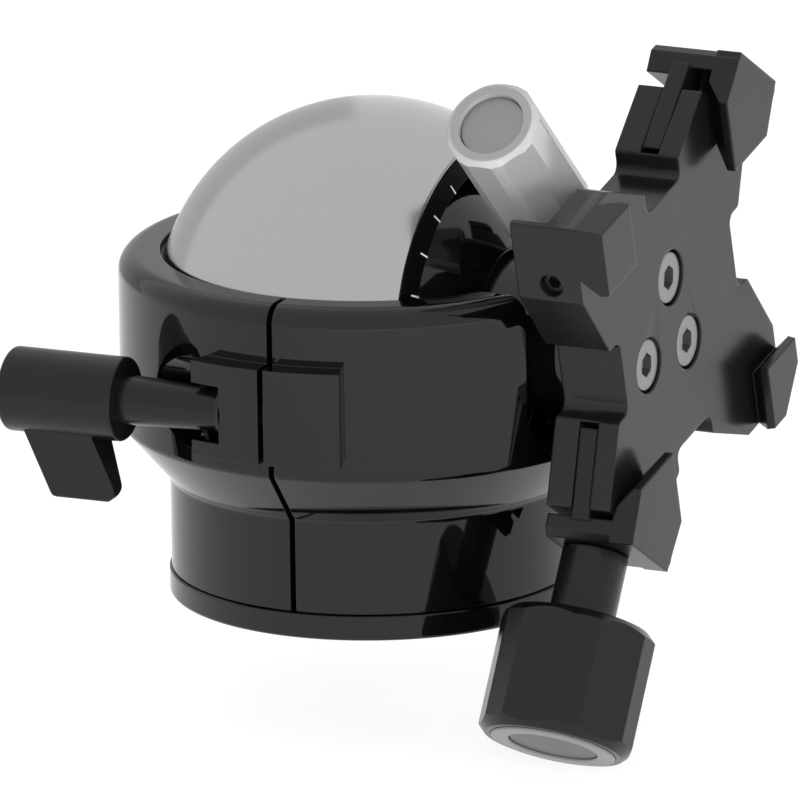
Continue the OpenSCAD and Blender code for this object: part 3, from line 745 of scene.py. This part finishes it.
class HEAD_OT_lever(bpy.types.Operator):
    """Builds the lever's handle and shaft"""
    bl_idname = "head.lever"
    bl_label = "Lever"

    def execute(self, context):
        s = context.scene.lever_sizes
        bore_r, end_r, end_depth, screw_r, screw_len = 2.55, 3.05, 2.2, 2.5, 7.9
        lever = on_lever(s)
        there = lever @ moved(0, 0, s.barrel_start)
        floor = s.barrel_len - end_depth
        section = [(bore_r, 0), (s.barrel_r, 0), (s.barrel_r, s.barrel_len), (end_r, s.barrel_len),
                   (end_r, floor), (bore_r, floor)]
        profile = fillet(section, [0, 0.5, 0.7, 0.2, 0, 0], 5)
        handle = lathe("lever_handle_shell", profile, there, look("knob_black"), 160)
        far = s.barrel_len - s.paddle_end
        near = far - s.paddle_width
        tip = near - s.paddle_lean
        root, long = -s.paddle_root, -s.paddle_len
        # The paddle's outline seen along the screw
        front_root, front_tip, back_tip, nick, nick_h, back_root = 3.7, 1.7, 0.3, -0.85, 1.8, -3.3
        side = fillet([(front_root, root), (front_tip, long), (back_tip, long), (nick, nick_h + long),
                       (back_root, root)], [0, 0.5, 0.4, 0.8, 0], 4)
        wedge = prism("wedge", side, -s.barrel_r, s.barrel_len + s.barrel_r, there)
        # And seen across the screw: it leans, also where the barrel hides it
        hidden, level = 1.4, -1
        front = fillet([(far + hidden, level), (far, root), (far - s.paddle_lean, long), (tip, long),
                        (near, root), (near + hidden, level)], [0, 0, 1.2, 1.8, 0, 0], 6)
        limit = prism("limit", front, -s.barrel_r, s.barrel_r, there @ turned(-90, "Y"))
        cross(wedge, limit)
        shell = rod("shell", s.barrel_r - 0.6, 1, s.barrel_len - 1, there, steps=160)
        cut(wedge, shell)
        join(handle, wedge)
        soften(handle, 0.3, 3)
        place(handle, "lever", "knob_black", "lever_handle")

        stop = s.barrel_start + floor
        section = [(0, -screw_len), (screw_r, -screw_len), (screw_r, s.shaft_start),
                   (s.shaft_low, s.shaft_start), (s.shaft_high, s.barrel_start),
                   (screw_r, s.barrel_start), (screw_r, stop), (0, stop)]
        profile = fillet(section, [0, 0.3, 0, 0.25, 0, 0, 0, 0], 3)
        shaft = smooth(lathe("lever_shaft_shell", profile, lever, look("knob_black"), 128))
        place(shaft, "lever", "steel_black", "lever_screw")
        return {"FINISHED"}


class HEAD_OT_neck(bpy.types.Operator):
    """Builds the neck and the lock knob"""
    bl_idname = "head.neck"
    bl_label = "Neck"

    def execute(self, context):
        s = context.scene.neck_sizes
        stem = on_stem()
        lock = on_lock(s)
        top = context.scene.clamp_sizes.plate_back
        head = top - s.head_h
        section = [(0, s.neck_start), (s.neck_r, s.neck_start), (s.neck_r, head), (s.head_r, head),
                   (s.head_r, top), (0, top)]
        profile = fillet(section, [0, 0.2, 0.3, 0.3, 0.2, 0], 3)
        neck = lathe("neck_shell", profile, stem, look("ball_black"), 192)
        lug = rod("lug", s.lug_r, s.lug_start, s.lock_start - s.gap, lock, edge=0.3)
        join(neck, lug)
        soften(neck, 0.2, 2)
        place(neck, "head", "body_black", "neck")

        there = lock @ moved(0, 0, s.lock_start)
        lock_flat, lock_edge, lock_hole = 31.0, 0.9, 2.05
        knob = grip("lock_knob_shell", s.lock_r, s.lock_len, lock_edge, s.lock_flats, lock_flat, there,
                    look("silver"))
        cap_r, cap_depth, cap_sunk = 5.0, 2.5, 0.9
        floor = s.lock_len - cap_depth
        recess = rod("recess", cap_r + s.gap, floor, s.lock_len + PAST, there)
        hole = rod("hole", lock_hole, -PAST, s.lock_len / 2, there)
        cut(knob, recess, hole)
        smooth(knob)
        # The end face takes the darker copy of the silver: painted shade on the end, while the sides keep the
        # lighter silver
        face = there.to_3x3() @ Vector((0, 0, 1))
        knob.data.materials.append(look("silver_end"))
        for polygon in knob.data.polygons:
            polygon.material_index = int(polygon.normal.dot(face) > 0.98)
        place(knob, "lock", "silver", "lock_knob")
        cap = rod("lock_cap_shell", cap_r, floor, s.lock_len - cap_sunk, there, look("cap_grey"), 0.15)
        place(smooth(cap), "lock", "silver", "lock_cap")
        return {"FINISHED"}


def arm_half(s, d):
    """Half the width of a tapered arm at a distance from the plate's centre."""
    return s.arm_root - (d - s.arm_root) * math.tan(math.radians(s.arm_taper))


def plate_outline(s):
    """The cross with tapered arms and a rounded pocket between each two."""
    slope = math.tan(math.radians(s.arm_taper))
    ledge = (s.arm_root * (1 + slope) + s.pocket_half * math.sqrt(2)) / (1 + slope)
    width = arm_half(s, ledge)
    across = ((ledge + width) / math.sqrt(2), (ledge - width) / math.sqrt(2))
    outline, radii = [], []
    limit = s.square * math.sqrt(2)
    for k, reach in enumerate((s.upper_len, limit, s.slide_len, s.right_len)):
        c, n = math.cos(math.radians(90 * k)), math.sin(math.radians(90 * k))
        side = min(reach, (limit - s.arm_root * (1 + slope)) / (1 - slope))
        half = arm_half(s, side)
        tips = [((side + half) / math.sqrt(2), (side - half) / math.sqrt(2))]
        if side < reach - 0.01:
            tips.append((s.square, reach * math.sqrt(2) - s.square))
        back = [(y, x) for x, y in reversed(tips) if x > y + 0.01]
        path = [(s.pocket, 0), (s.pocket, s.pocket_half), across] + tips + back
        path += [(across[1], across[0]), (s.pocket_half, s.pocket)]
        round_off = [0, s.pocket_round, 0.8] + [0.4] * (len(tips) + len(back)) + [0.8, s.pocket_round]
        for p, r in zip(path, round_off):
            outline.append((p[0] * c - p[1] * n, p[0] * n + p[1] * c))
            radii.append(r)
    return fillet(outline, radii, 6)


def lip_solid(s, lip, out, slope, low, high, matrix):
    """The undercut bar of a lip that faces the local -X side."""
    top = s.plate_face + s.post_h
    land = top - s.lip_land
    foot = lip + s.post_h - s.lip_land
    sunk = s.plate_face - s.post_sunk
    profile = [(lip, top), (lip, land), (foot, s.plate_face), (foot, sunk), (out, sunk), (out, s.plate_face),
               (out - slope, top)]
    return prism("lip", profile, low, high, matrix @ turned(90, "X"))


def corner_post(s, lip, out, slope, matrix):
    one = lip_solid(s, lip, out, slope, -out, out, matrix)
    two = lip_solid(s, lip, out, slope, -out, out, matrix @ turned(90, "Z"))
    return cross(one, two)


class HEAD_OT_clamp(bpy.types.Operator):
    """Builds the clamp plate with its posts and screws"""
    bl_idname = "head.clamp"
    bl_label = "Clamp"

    def execute(self, context):
        s = context.scene.clamp_sizes
        here = on_plate(s)
        reach = 2 * s.square
        plate = prism("clamp_plate_shell", plate_outline(s), s.plate_back, s.plate_face, here,
                      look("plate_black"))
        out = s.square - SKIN
        left = corner_post(s, s.post_lip, out, s.post_slope, here @ turned(90, "Z"))
        right = corner_post(s, s.post_lip, out, s.post_slope, here @ turned(-90, "Z"))
        end = block("end", (-reach, 0, s.plate_back), (reach, s.right_len - SKIN, s.plate_face + reach),
                    here @ turned(-135, "Z"))
        cross(right, end)
        join(plate, left, right)
        soften(plate, 0.35, 3)
        slot_root, root_half = 1.0, 4.0
        core_r, core_start, way_r = 3.35, 17.5, 2.15
        low, high = s.rod_level - s.slot_half, s.rod_level + s.slot_half
        root = s.slot_start - slot_root
        for upper in (True, False):
            arm = on_arm(s, upper)
            cut(plate,
                block("slot", (-s.arm_root, s.slot_start, low), (s.arm_root, reach, high), arm),
                block("slot_root", (-root_half, root, low), (root_half, s.slot_start + 0.1, high), arm),
                rod("core", core_r, core_start, reach, along_arm(s, upper)),
                rod("way", way_r, 0, reach, along_arm(s, upper)))
        counter_r, counter_depth = 4.3, 3.1
        arm = on_arm(s, True)
        spots = [(-5.57, 4.04), (5.49, -2.42), (-6.46, -9.92)]
        for x, y in spots:
            cut(plate, rod("counterbore", counter_r, s.plate_face - counter_depth, s.plate_face + PAST,
                           arm @ moved(x, y, 0)))
        hole_y, hole_r, hole_depth = 20.0, 1.85, 7.2
        relief_wall, relief_start, relief_end, relief_depth = 1.2, 23.5, 6.1, 5.6
        hole = here @ moved(-s.square, hole_y, s.rod_level) @ turned(90, "Y")
        cut(plate, rod("hole", hole_r, -PAST, hole_depth, hole),
            block("relief", (relief_wall - s.square, relief_start, s.plate_back - PAST),
                  (-relief_end, reach, s.plate_back + relief_depth), here))
        place(smooth(plate), "head", "plate_black", "clamp_plate")

        head_r, head_h, flats, socket, sunk = 3.95, 2.8, 3.3, 1.6, 0.3
        one = rod("plate_screw", head_r, -head_h, 0, HERE, edge=0.35)
        cut(one, hex_cutter(flats, -socket, PAST, HERE))
        soften(one, 0.12, 2)
        places = [arm @ moved(x, y, s.plate_face - sunk) for x, y in spots]
        screws = repeated("plate_screw_heads", one, places, look("steel"))
        smooth(screws)
        place(screws, "head", "steel", "plate_screws")
        pin_sunk, pin_flats, pin_socket = 1.2, 1.85, 3.0
        pin = rod("arm_screw_shell", hole_r - s.gap, pin_sunk, hole_depth, hole, look("steel_black"), 0.15)
        cut(pin, hex_cutter(pin_flats, 0, pin_socket, hole))
        place(smooth(pin), "head", "steel_black", "arm_set_screw")
        return {"FINISHED"}


class HEAD_OT_jaws(bpy.types.Operator):
    """Builds the two jaws, the clamp screw and the clamp knob"""
    bl_idname = "head.jaws"
    bl_label = "Jaws"

    def execute(self, context):
        s = context.scene.clamp_sizes
        mean = (s.upper_gap + s.lower_gap) / 2
        start = s.slide_len + mean
        end = start + s.jaw_wall
        top = s.plate_face + s.post_h
        jaw_bore, heel, guide_r = 2.05, 1.25, 3.2
        half, bevel = 7.5, 1.2
        tongue_half, tongue_gap = 1.4, 0.06
        lip_half, lip_root, lip_rise, overlap, guide_start = 8.2, 7.1, 0.15, 0.6, 21.0
        low, high = s.rod_level - tongue_half, s.rod_level + tongue_half
        root = start + overlap
        for upper in (True, False):
            shift = (s.upper_gap if upper else s.lower_gap) - mean
            arm = on_arm(s, upper, shift)
            tip = s.jaw_lip * math.sqrt(2)
            name = "upper_jaw" if upper else "lower_jaw"
            lip = [(0, tip), (lip_half, tip + lip_half), (lip_root, end), (-lip_root, end),
                   (-lip_half, tip + lip_half)]
            jaw = prism(name + "_shell", lip, s.plate_face + lip_rise, top, arm, look("jaw_black"))
            cross(jaw, corner_post(s, s.jaw_lip, end, 0, arm @ turned(45, "Z")))
            wall = [(-half, start), (half, start), (half, end - bevel), (half - bevel, end),
                    (bevel - half, end), (-half, end - bevel)]
            foot = s.tongue_start - shift
            wide, slim = arm_half(s, s.tongue_start) - tongue_gap, arm_half(s, root) - tongue_gap
            tongue = [(-wide, foot), (wide, foot), (slim, root), (-slim, root)]
            way = along_arm(s, upper, shift)
            join(jaw, prism("block", wall, s.plate_back, top - SKIN, arm),
                 prism("tongue", tongue, low, high, arm),
                 block("heel", (-half, start - (heel if upper else 0), s.plate_back),
                       (half, start + 0.1, low - s.gap), arm),
                 rod("core", guide_r, guide_start, start + overlap / 2, way))
            cut(jaw, rod("bore", jaw_bore, 0, (start if upper else end) + PAST, way))
            soften(jaw, 0.3, 3)
            place(jaw, "jaw_upper" if upper else "jaw_lower", "plate_black", name)

        screw_r, screw_tail, tail_r = 2.0, 8.0, 3.0
        way = along_arm(s, False, s.lower_gap - mean)
        begin = end + s.gap
        knob_at = begin + s.shoulder_len
        tail = knob_at + screw_tail
        section = [(0, -s.slide_len), (screw_r, -s.slide_len), (screw_r, begin), (s.shoulder_r, begin),
                   (s.shoulder_r, knob_at), (tail_r, knob_at), (tail_r, tail), (0, tail)]
        profile = fillet(section, [0, 0.2, 0, 0.3, 0, 0, 0.2, 0], 3)
        screw = smooth(lathe("clamp_screw_shell", profile, way, look("knob_black"), 96))
        place(screw, "screw", "steel_black", "clamp_screw")
        there = way @ moved(0, 0, knob_at)
        knob_flat, knob_edge, cap_inner, cap_depth = 40.0, 1.5, 6.75, 1.6
        knob = grip("clamp_knob_shell", s.knob_r, s.knob_len, knob_edge, s.knob_flats, knob_flat, there,
                    look("knob_black"))
        floor = s.knob_len - cap_depth
        cut(knob, rod("recess", s.cap_r + s.gap, floor, s.knob_len + PAST, there),
            rod("socket", tail_r + s.gap, -PAST, screw_tail + PAST, there))
        place(smooth(knob), "screw", "knob_black", "clamp_knob")
        ring = tube("knob_cap_shell", s.cap_r, cap_inner, floor, s.knob_len + 0.3, there,
                    look("knob_rim"), 0.25)
        place(smooth(ring), "screw", "silver", "knob_cap")
        disc = rod("knob_disc_shell", cap_inner - s.gap, floor, s.knob_len - s.gap, there,
                   look("knob_grey"), 0.1)
        place(smooth(disc), "screw", "silver", "knob_disc")
        return {"FINISHED"}


class HEAD_OT_hidden(bpy.types.Operator):
    """Gives the pieces that keep their plain shape their materials"""
    bl_idname = "head.hidden"
    bl_label = "Plain pieces"

    def execute(self, context):
        looks = {
            "tripod_insert": "steel", "base_screws": "steel_black", "seat_ring": "steel",
            "ball_seat": "liner_dark", "socket_liner": "liner_dark", "clamp_insert": "brass",
            "lever_washer": "steel_black", "lever_end_screw": "steel_black", "liner_pins": "steel",
            "inner_liner": "liner_white", "brake_rod": "steel", "brake_shoe": "brass",
            "lock_screw": "steel", "screw_clip": "steel", "knob_set_screw": "steel_black",
        }
        for name, material in looks.items():
            obj = bpy.data.objects.get(name)
            if obj and obj.type == "MESH":
                obj.data.materials.clear()
                obj.data.materials.append(look(material))
        return {"FINISHED"}


class HEAD_OT_stage(bpy.types.Operator):
    """Sets the floor, the lights, the world and the camera"""
    bl_idname = "head.stage"
    bl_label = "Stage"

    def execute(self, context):
        s = context.scene.stage_settings
        centre = Vector((0, 0, context.scene.head_sizes.centre_z))
        view = turned(s.azimuth, "Z") @ turned(90 - s.elevation, "X")
        right, up, back = (view.col[k].to_3d() for k in range(3))
        aim = (centre + right * s.aim_right - up * s.aim_down) * MM
        camera = bpy.data.cameras.new("camera")
        camera.lens = camera.sensor_width * s.distance / (s.frame_mm * MM)
        camera.clip_end = s.sight
        obj = add_object("camera", camera)
        obj.matrix_world = Matrix.Translation(aim + back * s.distance) @ view @ turned(-s.roll, "Z")
        context.scene.camera = obj

        mesh = bpy.data.meshes.new("floor")
        half, z = s.floor_half, s.floor_z * MM
        mesh.from_pydata([(-half, -half, z), (half, -half, z), (half, half, z), (-half, half, z)], [],
                         [(0, 1, 2, 3)])
        floor = add_object("floor", mesh, glowing("floor", "#a8a8a8", 0.9, s.floor_glow))

        mesh = bpy.data.meshes.new("panel")
        spots = arc(s.panel_inner, s.panel_start, s.panel_end, 23)
        spots += arc(s.panel_outer, s.panel_end, s.panel_start, 23)
        mesh.from_pydata([aim - back * s.panel_behind + right * x + up * y for x, y in spots], [],
                         [range(len(spots))])
        panel = add_object("panel", mesh, glowing("panel", "#000000", 1.0, s.panel_glow))
        panel.visible_camera = False
        panel.visible_shadow = False
        panel.visible_diffuse = False

        world = bpy.data.worlds.new("world")
        context.scene.world = world
        world.use_nodes = True
        tree = world.node_tree
        tree.nodes.clear()
        out = node_of(tree, "ShaderNodeOutputWorld", (600, 0))
        soft = node_of(tree, "ShaderNodeBackground", (200, 100), in_Color=WHITE, in_Strength=s.surround)
        white = node_of(tree, "ShaderNodeBackground", (200, -100), in_Color=WHITE, in_Strength=1.0)
        path = node_of(tree, "ShaderNodeLightPath", (-100, 300))
        mix = node_of(tree, "ShaderNodeMixShader", (400, 0))
        seen = node_of(tree, "ShaderNodeMath", (50, 300), operation="MAXIMUM")
        either = node_of(tree, "ShaderNodeMath", (220, 300), operation="MAXIMUM")
        wire(tree,
             (path, "Is Camera Ray", seen, 0),
             (path, "Is Glossy Ray", seen, 1),
             (seen, 0, either, 0),
             (path, "Is Transmission Ray", either, 1),
             (either, 0, mix, "Fac"),
             (soft, 0, mix, 1),
             (white, 0, mix, 2),
             (mix, 0, out, "Surface"))

        self.lamp(context, "key", Vector(s.key_place), s.key_size, s.key_power)
        self.lamp(context, "fill", back * s.fill_reach, s.fill_size, s.fill_power)
        self.lamp(context, "top", Vector((0, 0, s.top_reach)), s.top_size, s.top_power)
        context.scene.view_settings.view_transform = "Standard"
        return {"FINISHED"}

    def lamp(self, context, name, place, size, power):
        light = bpy.data.lights.new(name, "AREA")
        light.shape = "DISK"
        light.size = size
        light.energy = power
        light.specular_factor = 0.0
        obj = add_object(name, light)
        obj.location = Vector((0, 0, context.scene.stage_settings.lamp_aim)) + place
        obj.rotation_euler = place.to_track_quat("Z", "Y").to_euler()
        obj.visible_glossy = False


class HEAD_PT_panel(bpy.types.Panel):
    """The buttons that build the ball head"""
    bl_idname = "HEAD_PT_panel"
    bl_label = "Ball head"
    bl_space_type = "VIEW_3D"
    bl_region_type = "UI"
    bl_category = "Ball head"

    def draw(self, context):
        for name in STEPS:
            self.layout.operator("head." + name)


STEPS = ("housing", "balls", "lever", "neck", "clamp", "jaws", "hidden", "stage")
GROUPS = {
    "head_sizes": HeadSizes,
    "lever_sizes": LeverSizes,
    "neck_sizes": NeckSizes,
    "clamp_sizes": ClampSizes,
    "stage_settings": StageSettings,
}
CLASSES = (HEAD_OT_housing, HEAD_OT_balls, HEAD_OT_lever, HEAD_OT_neck, HEAD_OT_clamp, HEAD_OT_jaws,
           HEAD_OT_hidden, HEAD_OT_stage, HEAD_PT_panel)


def register():
    for name, group in GROUPS.items():
        bpy.utils.register_class(group)
        setattr(bpy.types.Scene, name, PointerProperty(type=group))
    for item in CLASSES:
        bpy.utils.register_class(item)


def unregister():
    for item in reversed(CLASSES):
        bpy.utils.unregister_class(item)
    for name, group in GROUPS.items():
        delattr(bpy.types.Scene, name)
        bpy.utils.unregister_class(group)


def main():
    for obj in list(bpy.data.objects):
        bpy.data.objects.remove(obj)
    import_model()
    register()
    for name in STEPS:
        getattr(bpy.ops.head, name)()


if __name__ == "__main__":
    main()
